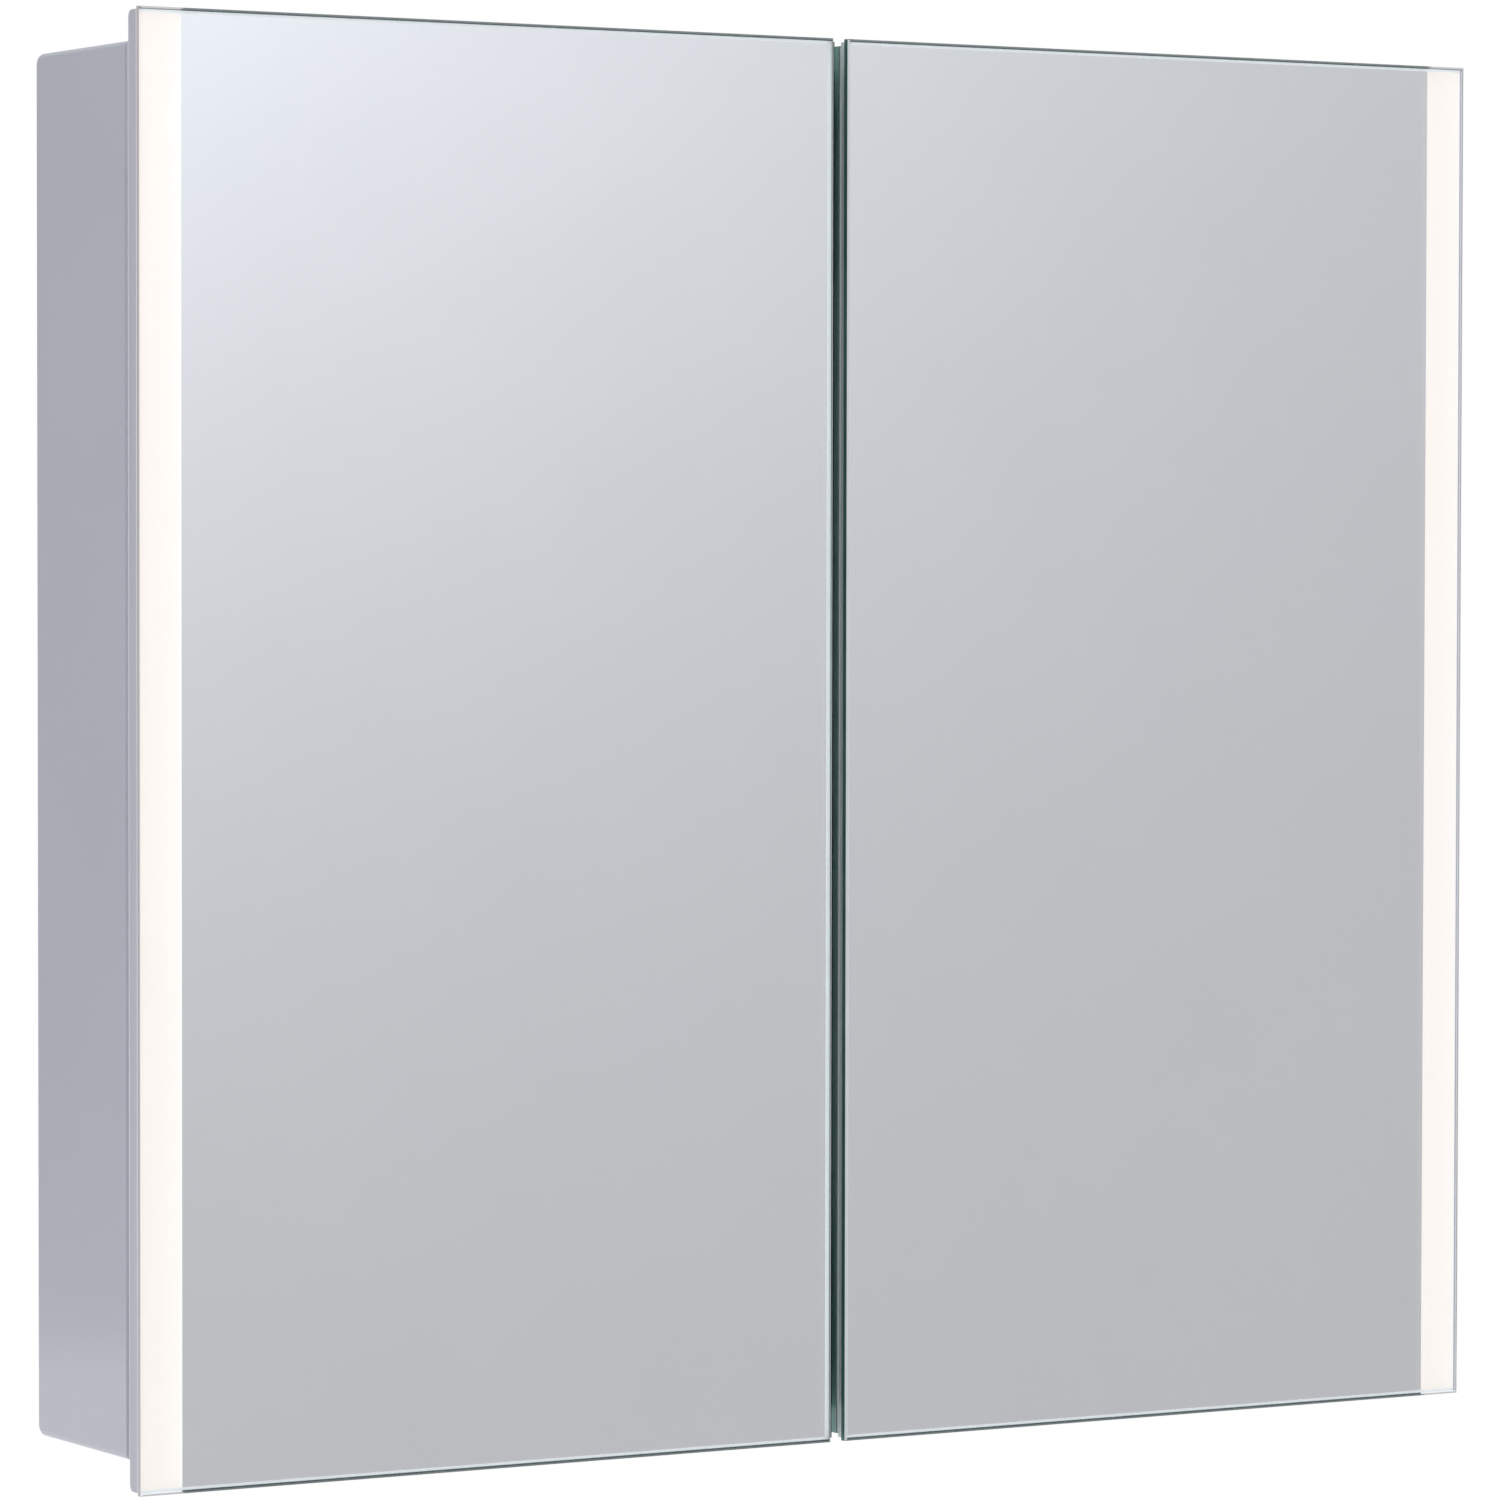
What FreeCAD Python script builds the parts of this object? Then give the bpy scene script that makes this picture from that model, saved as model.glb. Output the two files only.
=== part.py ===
"""Wall-hung mirror cabinet with two lit, double-sided mirror doors.

Frame: origin at the centre of the four wall-fixing holes on the cabinet's back plane, +X to the
right, +Y into the wall, +Z up, millimetres. Left and right are those of a person facing the cabinet.
Everything on the right that matches the left is a mirror copy of it.
"""
import FreeCAD, Part
import Sketcher
import os
import re

doc = FreeCAD.newDocument("mirror_cabinet")

# ---------------------------------------------------------------- driving dimensions
DRIVING = {
    "cabinet_width": 800.0,      # over the carcass, and over both closed doors
    "door_height": 730.0,        # the doors overhang the carcass above and below
    "carcass_height": 698.0,
    "total_depth": 124.0,        # wall to the front of the mirrors
    "centre_gap": 8.6,           # between the closed doors
    "seam": 1.5,                 # between the closed doors and the carcass
    "board": 18.0,               # carcass panel thickness
    "rear_round": 6.0,           # rounding of the side panels' rear corners
    "side_round": 3.0,           # rounding round the side panels' outer faces
    "ease": 0.5,                 # eased edges of the shelves and of the back panel
    "clearance": 0.05,           # round pins, screws and bores
    "glass": 4.0,                # each mirror's pane
    "silver": 0.4,               # silvering with its safety film
    "film": 0.05,                # between a pane and whatever lies against its back
    "core": 5.2,                 # frame and core between the two mirrors
    "glass_arris": 1.0,          # polished chamfer round the front pane
    "reveal": 1.2,               # door frame set back behind the glass edge
    "silver_inset": 2.6,         # clear border between glass edge and silvering
    "rear_silver_inset": 0.8,    # the same on the rear mirrors' inner edges
    "strip_width": 22.0,         # lit strip
    "strip_side": 1.4,           # lit strip to the door's outer edge
    "strip_end": 2.8,            # lit strip to the door's top and bottom
    "guide": 3.6,                # light guide thickness
    "board_gap": 0.4,            # light guide to its row of diodes
    "frame_bar": 17.0,           # width of the door frame's bars
    "wall": 1.2,                 # wall of the aluminium extrusions
    "rear_inset": 2.0,           # rear pane's top and bottom edges inside the frame's
    "stile_side": 0.4,           # outer stile set back from the glass edge
    "stile_back": 13.0,          # outer stile's rear block, across the door
    "door_round": 3.5,           # rounding of the outer stile's rear corners
    "hinge_in": 2.2,             # hinge axis from the cabinet's outer face
    "rod_radius": 1.0,           # hinge rod
    "rod_play": 0.05,            # running clearance of the rod in its socket
    "socket_radius": 1.7,        # outside of the hinge socket
    "socket_relief": 0.2,        # room round the socket
    "seat": 0.15,                # hinge flange set back from the carcass front
    "neck": 0.75,                # web that joins the rod to the stile
    "swing": 105.0,              # full opening of each door, in degrees
    "lip_back": 2.7,             # side panel's outer front edge, behind the hinge axis
    "flange_width": 14.0,        # hinge socket's flange on the side panel
    "flange": 1.8,
    "hinge_screw": 1.5,          # radius of the hinge screws' shanks
    "hinge_screw_length": 16.0,
    "hinge_screw_in": 4.0,       # hinge screws from the flange's inner edge
    "hinge_screw_end": 30.0,     # end hinge screws from the carcass's top and bottom
    "plug": 4.0,                 # nylon plug in each end of a socket
    "plug_gap": 0.1,
    "cam_radius": 7.4,           # eccentric fittings that pull the panels together
    "cam_play": 0.2,
    "cam_depth": 12.0,
    "cam_sink": 0.5,
    "cam_in": 24.0,              # from the side panel
    "cam_rear": 30.0,            # from the wall
    "cam_front": 84.0,
    "cam_slot": 5.0,             # half the screwdriver slot's length
    "cam_slot_depth": 2.5,
    "back_board": 8.0,
    "back_mirror": 3.0,
    "service_height": 81.0,      # closed-off space for the electrics, under the top panel
    "service_depth": 58.0,
    "cover_sheet": 1.5,
    "cover_return": 14.0,        # cover's top flange
    "cover_screw": 1.5,          # radius of the cover screws' shanks
    "cover_screw_length": 8.0,
    "cover_screw_drop": 10.0,    # below the top panel
    "cover_screw_step": 110.0,   # outer pair at three steps, inner pair at one
    "bracket_half": 8.0,         # half the width of a cover bracket
    "bracket": 2.0,
    "bracket_drop": 18.0,
    "bracket_reach": 30.0,
    "lead_in": 34.0,             # low-voltage leads' holes in the cover, from the cabinet's side
    "lead_drop": 40.0,
    "lead_radius": 4.0,
    "lead_hole": 2.5,
    "driver_x": -150.0,          # middle of the light driver
    "driver_width": 160.0,
    "driver_depth": 44.0,
    "driver_height": 28.0,
    "driver_ear": 16.0,
    "driver_ear_thickness": 2.5,
    "terminal_x": 62.0,          # middle of the terminal block
    "terminal_width": 44.0,
    "terminal_depth": 20.0,
    "terminal_height": 24.0,
    "terminal_pitch": 13.0,
    "terminal_mouth": 2.4,
    "terminal_mouth_depth": 8.0,
    "bolt_x": 700.0,             # wall-fixing holes, across
    "bolt_z": 600.0,             # wall-fixing holes, up and down
    "bolt_radius": 3.0,
    "rail_screw": 2.0,           # radius of the screws that hold the rails to the back panel
    "rail_screw_length": 12.0,
    "rail_height": 36.0,
    "rail": 2.5,
    "shelf": 5.0,
    "shelf_depth": 82.0,
    "shelf_play": 2.0,           # each end of a shelf to its side panel
    "shelf_high": 92.0,          # heights of the shelves' undersides
    "shelf_low": -68.0,
    "pin_radius": 2.5,
    "pin_hole": 9.0,             # depth of the shelf-pin holes
    "pin_pitch": 32.0,
    "inlet_radius": 4.0,         # hole of the mains grommet
    "inlet_rise": 16.0,          # above the cover's floor
    "grommet_lip": 1.5,
    "grommet_radius": 10.0,
    "magnet_radius": 4.0,
    "magnet_length": 8.0,
    "magnet_x": 34.0,
    "magnet_stand": 0.6,         # magnets stand proud of the carcass front
    "strike": 0.6,               # steel strikes on the doors
    "bumper_radius": 4.0,
    "bumper_x": 70.0,
    "sensor_radius": 9.0,        # touchless switch in the bottom panel
    "sensor_rim": 2.0,
    "sensor_rim_thickness": 1.5,
    "sensor_in": 60.0,           # from the side panel, and from the wall
    "door_lead_in": 21.0,        # leads' holes in the doors, from the cabinet's side
    "door_lead_drop": 52.0,
    "door_lead_radius": 3.5,
    "door_lead_hole": 2.2,
    "led_end": 20.0,             # diode strip to the door's top and bottom
    "led_gap": 0.1,
    "led": 4.0,                  # each diode's length
    "led_depth": 2.0,
}

sheet = doc.addObject("Spreadsheet::Sheet", "Dimensions")
for row, (alias, value) in enumerate(DRIVING.items(), start=1):
    sheet.set("A%d" % row, alias)
    sheet.set("B%d" % row, str(value))
    sheet.setAlias("B%d" % row, alias)
doc.recompute()

ALIASES = re.compile(r"\b(%s)\b" % "|".join(sorted(DRIVING, key=len, reverse=True)))

# ---------------------------------------------------------------- planes of the cabinet
OUTER = "(-cabinet_width / 2)"
INNER = "(-centre_gap / 2)"
DOOR_TOP = "(door_height / 2)"
DOOR_LOW = "(-door_height / 2)"
BOX_TOP = "(carcass_height / 2)"
BOX_LOW = "(-carcass_height / 2)"
ROOM_TOP = "(carcass_height / 2 - board)"
ROOM_LOW = "(board - carcass_height / 2)"
ROOM_LEFT = "(board - cabinet_width / 2)"
ROOM_RIGHT = "(cabinet_width / 2 - board)"
FRONT = "(-total_depth)"
GLASS_BACK = "(glass - total_depth)"
SILVER_BACK = "(glass + silver - total_depth)"
CORE_BACK = "(glass + silver + core - total_depth)"
REAR_PANE = "(glass + 2 * silver + core - total_depth)"
DOOR_BACK = "(2 * glass + 2 * silver + core - total_depth)"
CARCASS_FRONT = "(2 * glass + 2 * silver + core + seam - total_depth)"
HINGE_X = "(hinge_in - cabinet_width / 2)"
HINGE_Y = "(2 * glass + 2 * silver + core + seam / 2 - total_depth)"
STRIP_IN = "(strip_side + strip_width - cabinet_width / 2)"
CHAMBER_IN = "(strip_side + strip_width + board_gap + wall + 0.4 - cabinet_width / 2)"
STILE_IN = "(strip_side + strip_width + board_gap + 2 * wall + 0.4 - cabinet_width / 2)"
FRAME_TOP = "(door_height / 2 - reveal)"
FRAME_LOW = "(reveal - door_height / 2)"
BARS_TOP = "(door_height / 2 - reveal - frame_bar)"
BARS_LOW = "(reveal + frame_bar - door_height / 2)"
BAR_IN = "(-centre_gap / 2 - reveal - frame_bar)"
BACK_FRONT = "(-back_board)"
LINING = "(-back_board - back_mirror)"
SERVICE_FLOOR = "(carcass_height / 2 - board - service_height)"
SERVICE_FRONT = "(-back_board - service_depth)"

DOOR_LEAD_X = "(door_lead_in - cabinet_width / 2)"
DOOR_LEAD_Z = "(carcass_height / 2 - board - door_lead_drop)"
HINGE_SCREW_X = "(flange_width - hinge_screw_in - cabinet_width / 2)"
HINGE_SCREW_HEIGHTS = ["(%d * (carcass_height / 2 - hinge_screw_end) / 3)" % step
                       for step in range(-3, 4)]
RAIL_SCREWS_X = (-250, -90, 90, 250)
LED_COUNT = 16

exported = []


# ---------------------------------------------------------------- modelling helpers
def bind(obj, prop, formula):
    """Bind a property to a formula in the sheet's aliases."""
    obj.setExpression(prop, ALIASES.sub(r"Dimensions.\1", str(formula)))


def place(obj, x, y, z):
    bind(obj, ".Placement.Base.x", x)
    bind(obj, ".Placement.Base.y", y)
    bind(obj, ".Placement.Base.z", z)


def name_node(obj, label):
    """Give a finished piece its node name."""
    obj.Label = label
    exported.append(obj)
    return obj


def box(x, y, z):
    """A block between two formulas on each axis."""
    block = doc.addObject("Part::Box", "Block")
    for prop, (low, high) in zip(("Length", "Width", "Height"), (x, y, z)):
        bind(block, prop, "(%s) - (%s)" % (high, low))
    place(block, x[0], y[0], z[0])
    return block


AXES = {
    "+X": FreeCAD.Vector(1, 0, 0),
    "+Y": FreeCAD.Vector(0, 1, 0),
    "-Y": FreeCAD.Vector(0, -1, 0),
    "+Z": FreeCAD.Vector(0, 0, 1),
}


def round_bar(axis, radius, length, x, y, z):
    """A cylinder that starts at a point and runs along an axis."""
    bar = doc.addObject("Part::Cylinder", "RoundBar")
    bind(bar, "Radius", radius)
    bind(bar, "Height", length)
    bar.Placement.Rotation = FreeCAD.Rotation(AXES["+Z"], AXES[axis])
    place(bar, x, y, z)
    return bar


def taper(axis, near_radius, far_radius, length, x, y, z):
    """A cone that starts at a point and runs along an axis."""
    cone = doc.addObject("Part::Cone", "Taper")
    bind(cone, "Radius1", near_radius)
    bind(cone, "Radius2", far_radius)
    bind(cone, "Height", length)
    cone.Placement.Rotation = FreeCAD.Rotation(AXES["+Z"], AXES[axis])
    place(cone, x, y, z)
    return cone


def fuse(*pieces):
    union = doc.addObject("Part::MultiFuse", "Union")
    union.Shapes = list(pieces)
    union.Refine = True
    return union


def group(pieces):
    """Loose pieces kept together in one node, or as one cutting tool."""
    compound = doc.addObject("Part::Compound", "Group")
    compound.Links = list(pieces)
    return compound


def cut(base, *tools):
    difference = doc.addObject("Part::Cut", "Difference")
    difference.Base = base
    difference.Tool = tools[0] if len(tools) == 1 else group(tools)
    return difference


def mirror_copy(source, normal="+X"):
    copy = doc.addObject("Part::Mirroring", "MirrorCopy")
    copy.Source = source
    copy.Normal = AXES[normal]
    return copy


def both_sides(left_piece, piece_name):
    """Name a left-hand piece and add its right-hand mirror copy."""
    name_node(left_piece, "left_" + piece_name)
    name_node(mirror_copy(left_piece), "right_" + piece_name)


def straight_edges(shape, test):
    """Names of the edges whose two ends both pass a test."""
    names = []
    for number, edge in enumerate(shape.Edges, start=1):
        ends = [vertex.Point for vertex in edge.Vertexes]
        if len(ends) == 2 and all(test(point) for point in ends):
            names.append("Edge%d" % number)
    return names


def sketched_slab(label, plane_role, across, up, thickness, start):
    """A PartDesign body: a rectangle sketched on an origin plane and padded."""
    body = doc.addObject("PartDesign::Body", label)
    plane = [item for item in body.Origin.OriginFeatures if item.Role == plane_role][0]
    sketch = body.newObject("Sketcher::SketchObject", label + "_outline")
    sketch.AttachmentSupport = [(plane, "")]
    sketch.MapMode = "FlatFace"
    corners = [FreeCAD.Vector(u, v, 0) for u, v in ((0, 0), (9, 0), (9, 9), (0, 9))]
    for first, second in zip(corners, corners[1:] + corners[:1]):
        sketch.addGeometry(Part.LineSegment(first, second), False)
    for line in range(4):
        sketch.addConstraint(Sketcher.Constraint("Coincident", line, 2, (line + 1) % 4, 1))
    for line, kind in enumerate(("Horizontal", "Vertical", "Horizontal", "Vertical")):
        sketch.addConstraint(Sketcher.Constraint(kind, line))
    width = sketch.addConstraint(Sketcher.Constraint("DistanceX", 0, 1, 0, 2, 9.0))
    height = sketch.addConstraint(Sketcher.Constraint("DistanceY", 1, 1, 1, 2, 9.0))
    sketch.addConstraint(Sketcher.Constraint("Coincident", 0, 1, -1, 1))
    bind(sketch, "Constraints[%d]" % width, across)
    bind(sketch, "Constraints[%d]" % height, up)
    pad = body.newObject("PartDesign::Pad", label + "_pad")
    pad.Profile = sketch
    bind(pad, "Length", thickness)
    place(body, *start)
    doc.recompute()
    return body, pad


def dress(body, kind, pad, edge_names, prop, formula):
    """Fillet or chamfer some edges of a body's pad."""
    feature = body.newObject("PartDesign::" + kind, body.Name + "_" + kind.lower())
    feature.Base = (pad, edge_names)
    bind(feature, prop, formula)
    return feature


RECESS_DEPTH = "0.8"


def cross_recess(x, y, z, arm):
    """Two crossed slots that sink into a screw's head along +Y."""
    slots = []
    for wide, tall in ((arm, "0.2 * (%s)" % arm), ("0.2 * (%s)" % arm, arm)):
        slots.append(box(("%s - %s" % (x, wide), "%s + %s" % (x, wide)),
                         ("%s - 0.1" % y, "%s + %s" % (y, RECESS_DEPTH)),
                         ("%s - %s" % (z, tall), "%s + %s" % (z, tall))))
    return slots


def countersunk_screw(x, y, z, shank, length):
    """A screw along +Y whose flat head lies in the plane through its point."""
    head = taper("+Y", "2 * %s" % shank, shank, shank, x, y, z)
    stem = round_bar("+Y", shank, length, x, y, z)
    return cut(fuse(head, stem), *cross_recess(x, y, z, shank))


def pan_screw(x, y, z, shank, length):
    """A screw along +Y whose domed head stands in front of its point."""
    dome = taper("+Y", "1.5 * %s" % shank, "2 * %s" % shank, shank, x, "%s - %s" % (y, shank), z)
    stem = round_bar("+Y", shank, length, x, y, z)
    return cut(fuse(dome, stem), *cross_recess(x, "%s - %s" % (y, shank), z, shank))


# ---------------------------------------------------------------- carcass panels
def side_panel():
    """Left side panel: rounded rear corners, hinge rebate and shelf-pin holes."""
    body, pad = sketched_slab(
        "SidePanel", "YZ_Plane", "-%s" % CARCASS_FRONT, "carcass_height", "board",
        (OUTER, CARCASS_FRONT, BOX_LOW))
    at_rear = body.Shape.BoundBox.YMax - body.Placement.Base.y
    rear_edges = []
    for number, edge in enumerate(pad.Shape.Edges, start=1):
        first, second = [vertex.Point for vertex in edge.Vertexes]
        along_x = abs(first.x - second.x) > 1
        if along_x and abs(first.y - at_rear) < 0.01:
            rear_edges.append("Edge%d" % number)
    rounded = dress(body, "Fillet", pad, rear_edges, "Radius", "rear_round")
    doc.recompute()
    outer_x = rounded.Shape.BoundBox.XMin
    upright = straight_edges(rounded.Shape, lambda point: abs(point.x - outer_x) < 0.01
                             and abs(point.y - at_rear) < 0.01)
    dress(body, "Fillet", rounded, upright, "Radius", "side_round")
    rebate = box((OUTER + " - 1", OUTER + " + flange_width"),
                 (CARCASS_FRONT + " - 1", CARCASS_FRONT + " + flange"),
                 (BOX_LOW + " - 1", BOX_TOP + " + 1"))
    groove = box((OUTER + " - 1", HINGE_X + " + socket_radius + socket_relief"),
                 (CARCASS_FRONT + " - 1", HINGE_Y + " + socket_radius + socket_relief"),
                 (BOX_LOW + " - 1", BOX_TOP + " + 1"))
    lip = box((OUTER + " - 1", HINGE_X), (CARCASS_FRONT + " - 1", HINGE_Y + " + lip_back"),
              (BOX_LOW + " - 1", BOX_TOP + " + 1"))
    holes = [pin_hole(y, z) for z in pin_rows() for y in PIN_COLUMNS]
    pilots = [round_bar("+Y", "hinge_screw + clearance", "hinge_screw_length + 1", HINGE_SCREW_X,
                        CARCASS_FRONT, z) for z in HINGE_SCREW_HEIGHTS]
    return cut(body, rebate, groove, lip, *(holes + pilots))


PIN_COLUMNS = (LINING + " - 20", LINING + " - 66")


def pin_rows():
    """Heights of the shelf-pin holes: one at each shelf, one pitch above it and one below."""
    rows = []
    for shelf_height in ("shelf_high", "shelf_low"):
        for step in (-1, 0, 1):
            rows.append("%s + %d * pin_pitch - pin_radius" % (shelf_height, step))
    return rows


def pin_hole(y, z):
    return round_bar("+X", "pin_radius + clearance", "pin_hole + 1", ROOM_LEFT + " - pin_hole",
                     y, z)


def crosswise_panel(low, high, outer_side):
    """Top or bottom panel between the side panels, its outer rear edge rounded like theirs."""
    panel = box((ROOM_LEFT, ROOM_RIGHT), (CARCASS_FRONT, "0"), (low, high))
    doc.recompute()
    bounds = panel.Shape.BoundBox
    outer_z = bounds.ZMax if outer_side > 0 else bounds.ZMin
    names = straight_edges(panel.Shape, lambda point: abs(point.y) < 0.01
                           and abs(point.z - outer_z) < 0.01)
    rounded = doc.addObject("Part::Fillet", "PanelRounding")
    rounded.Base = panel
    radius = sheet.get("rear_round")
    rounded.Edges = [(int(name[4:]), radius, radius) for name in names]
    return rounded


both_sides(side_panel(), "side_panel")

cam_recesses = []
cam_discs = []
for inner_face, inward in ((ROOM_TOP, 1), (ROOM_LOW, -1)):
    for side in (-1, 1):
        for y in ("-cam_rear", "-cam_front"):
            x = "%d * (%s - cam_in)" % (side, ROOM_RIGHT)
            low = inner_face if inward == 1 else inner_face + " - cam_depth"
            sunk = inner_face + " + cam_sink" if inward == 1 else inner_face + " - cam_depth"
            cam_recesses.append(round_bar("+Z", "cam_radius + cam_play", "cam_depth", x, y, low))
            disc = round_bar("+Z", "cam_radius", "cam_depth - cam_sink", x, y, sunk)
            slot_low = inner_face if inward == 1 else inner_face + " - cam_slot_depth"
            slot = box((x + " - cam_slot", x + " + cam_slot"), (y + " - 1", y + " + 1"),
                       (slot_low, slot_low + " + cam_slot_depth"))
            cam_discs.append(cut(disc, slot))

magnet_places = [(x, z) for z in (ROOM_TOP + " + board / 2", ROOM_LOW + " - board / 2")
                 for x in ("-magnet_x", "magnet_x")]
magnet_bores = [round_bar("+Y", "magnet_radius + clearance", "magnet_length", x, CARCASS_FRONT, z)
                for x, z in magnet_places]

SENSOR_X = ROOM_RIGHT + " - sensor_in"
SENSOR_Y = "(-sensor_in)"
sensor_bore = round_bar("+Z", "sensor_radius + clearance", "board + 2", SENSOR_X, SENSOR_Y,
                        BOX_LOW + " - 1")

top_panel = cut(crosswise_panel(ROOM_TOP, BOX_TOP, 1),
                *(cam_recesses[:4] + magnet_bores[:2]))
name_node(top_panel, "top_panel")
bottom_panel = cut(crosswise_panel(BOX_LOW, ROOM_LOW, -1),
                   *(cam_recesses[4:] + magnet_bores[2:] + [sensor_bore]))
name_node(bottom_panel, "bottom_panel")
name_node(group(cam_discs), "cam_fittings")

magnets = [round_bar("+Y", "magnet_radius", "magnet_length + magnet_stand", x,
                     CARCASS_FRONT + " - magnet_stand", z) for x, z in magnet_places]
name_node(group(magnets), "catch_magnets")

# ---------------------------------------------------------------- back, rails and wall fixing
BOLTS = [(x, z) for z in ("bolt_z / 2", "-bolt_z / 2") for x in ("-bolt_x / 2", "bolt_x / 2")]


def bolt_hole(x, z):
    return round_bar("+Y", "bolt_radius", "back_board + rail + 2", x, LINING + " + 0.5 - 1", z)


def rail_screw_places():
    return [(str(x), z) for z in ("bolt_z / 2", "-bolt_z / 2") for x in RAIL_SCREWS_X]


def rail_screw_hole(x, z):
    """Through the back panel and rail from the rear, with its countersink."""
    sink = taper("-Y", "2 * rail_screw + clearance", "rail_screw + clearance", "rail_screw",
                 x, "0", z)
    return fuse(sink, round_bar("-Y", "rail_screw + clearance", "back_board + rail + 1", x, "0", z))


INLET = ("0", SERVICE_FLOOR + " + inlet_rise")
inlet_bore = round_bar("+Y", "grommet_radius - grommet_lip + clearance", "back_board + 2",
                       INLET[0], BACK_FRONT + " - 1", INLET[1])
back_board = box((ROOM_LEFT, ROOM_RIGHT), (BACK_FRONT, "0"), (ROOM_LOW, ROOM_TOP))
doc.recompute()
eased_board = doc.addObject("Part::Chamfer", "EasedBack")
eased_board.Base = back_board
ease = sheet.get("ease")
eased_board.Edges = [(int(name[4:]), ease, ease)
                     for name in straight_edges(back_board.Shape, lambda point: abs(point.y) < 0.01)]
back_panel = cut(eased_board, inlet_bore, *[bolt_hole(x, z) for x, z in BOLTS],
                 *[rail_screw_hole(x, z) for x, z in rail_screw_places()])
name_node(back_panel, "back_panel")

for label, middle, bolts in (("hanging_rail", "bolt_z / 2", BOLTS[:2]),
                             ("lower_fixing_rail", "-bolt_z / 2", BOLTS[2:])):
    bar = box((ROOM_LEFT + " + 4", ROOM_RIGHT + " - 4"),
              (BACK_FRONT + " - rail", BACK_FRONT),
              (middle + " - rail_height / 2", middle + " + rail_height / 2"))
    threads = [rail_screw_hole(x, z) for x, z in rail_screw_places() if z == middle]
    name_node(cut(bar, *([bolt_hole(x, z) for x, z in bolts] + threads)), label)

rail_screws = group([countersunk_screw(x, "0", z, "rail_screw", "rail_screw_length")
                     for x, z in rail_screw_places()])
name_node(mirror_copy(rail_screws, "+Y"), "rail_screws")

mirror_low = "(rail_height / 2 + 1 - bolt_z / 2)"
name_node(box((ROOM_LEFT + " + 1", ROOM_RIGHT + " - 1"), (LINING, BACK_FRONT),
              (mirror_low, SERVICE_FLOOR + " - 0.5")), "back_mirror")

# ---------------------------------------------------------------- electrics behind the service cover
cover_left = ROOM_LEFT + " + 1"
cover_right = ROOM_RIGHT + " - 1"
cover_front = box((cover_left, cover_right), (SERVICE_FRONT, SERVICE_FRONT + " + cover_sheet"),
                  (SERVICE_FLOOR, ROOM_TOP))
cover_floor = box((cover_left, cover_right), (SERVICE_FRONT, BACK_FRONT),
                  (SERVICE_FLOOR, SERVICE_FLOOR + " + cover_sheet"))
cover_lip = box((cover_left, cover_right), (SERVICE_FRONT, SERVICE_FRONT + " + cover_return"),
                (ROOM_TOP + " - cover_sheet", ROOM_TOP))
COVER_SCREWS = ["%d * cover_screw_step" % step for step in (-3, -1, 1, 3)]
COVER_SCREW_Z = ROOM_TOP + " - cover_screw_drop"
LEAD_X = "(cabinet_width / 2 - lead_in)"
LEAD_Z = ROOM_TOP + " - lead_drop"
cover_holes = [round_bar("+Y", "cover_screw + 2 * clearance", "cover_sheet + 2", x,
                         SERVICE_FRONT + " - 1", COVER_SCREW_Z) for x in COVER_SCREWS]
lead_holes = [round_bar("+Y", "lead_radius + clearance", "cover_sheet + 2", sign + LEAD_X,
                        SERVICE_FRONT + " - 1", LEAD_Z) for sign in ("-", "")]
name_node(cut(fuse(cover_front, cover_floor, cover_lip), *(cover_holes + lead_holes)),
          "service_cover")

brackets = []
for x in COVER_SCREWS:
    behind = SERVICE_FRONT + " + cover_sheet"
    past_flange = SERVICE_FRONT + " + cover_return"
    across = (x + " - bracket_half", x + " + bracket_half")
    upright = box(across, (behind, behind + " + bracket"),
                  (ROOM_TOP + " - bracket_drop", ROOM_TOP + " - cover_sheet"))
    hole = round_bar("+Y", "cover_screw + clearance", "bracket + 2", x, behind + " - 1",
                     COVER_SCREW_Z)
    foot = box(across, (past_flange, behind + " + bracket_reach"),
               (ROOM_TOP + " - bracket", ROOM_TOP))
    arm = box(across, (behind, past_flange + " + bracket"),
              (ROOM_TOP + " - cover_sheet - bracket", ROOM_TOP + " - cover_sheet"))
    brackets.append(cut(fuse(upright, arm, foot), hole))
name_node(group(brackets), "cover_brackets")
name_node(group([pan_screw(x, SERVICE_FRONT, COVER_SCREW_Z, "cover_screw", "cover_screw_length")
                 for x in COVER_SCREWS]), "cover_screws")


def grommet(direction, radius, hole, sheet_thickness, x, y, z):
    """A rubber ring: a flange in front of a sheet and a collar through it."""
    flange = round_bar(direction, "%s + grommet_lip" % radius, "1", x, "%s - 1" % y, z)
    collar = round_bar(direction, radius, sheet_thickness, x, y, z)
    through = round_bar(direction, hole, "%s + 3" % sheet_thickness, x, "%s - 2" % y, z)
    return cut(fuse(flange, collar), through)


name_node(group([grommet("+Y", "lead_radius", "lead_hole", "cover_sheet", sign + LEAD_X,
                         SERVICE_FRONT, LEAD_Z) for sign in ("-", "")]), "cover_lead_grommets")

driver_low = SERVICE_FLOOR + " + cover_sheet + 1"
driver_case = box(("driver_x - driver_width / 2", "driver_x + driver_width / 2"),
                  (BACK_FRONT + " - driver_depth", BACK_FRONT),
                  (driver_low, driver_low + " + driver_height"))
driver_ears = box(("driver_x - driver_width / 2 - driver_ear",
                   "driver_x + driver_width / 2 + driver_ear"),
                  (BACK_FRONT + " - driver_ear_thickness", BACK_FRONT),
                  (driver_low + " + driver_height / 2 - driver_ear / 2",
                   driver_low + " + driver_height / 2 + driver_ear / 2"))
name_node(fuse(driver_case, driver_ears), "led_driver")

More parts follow.
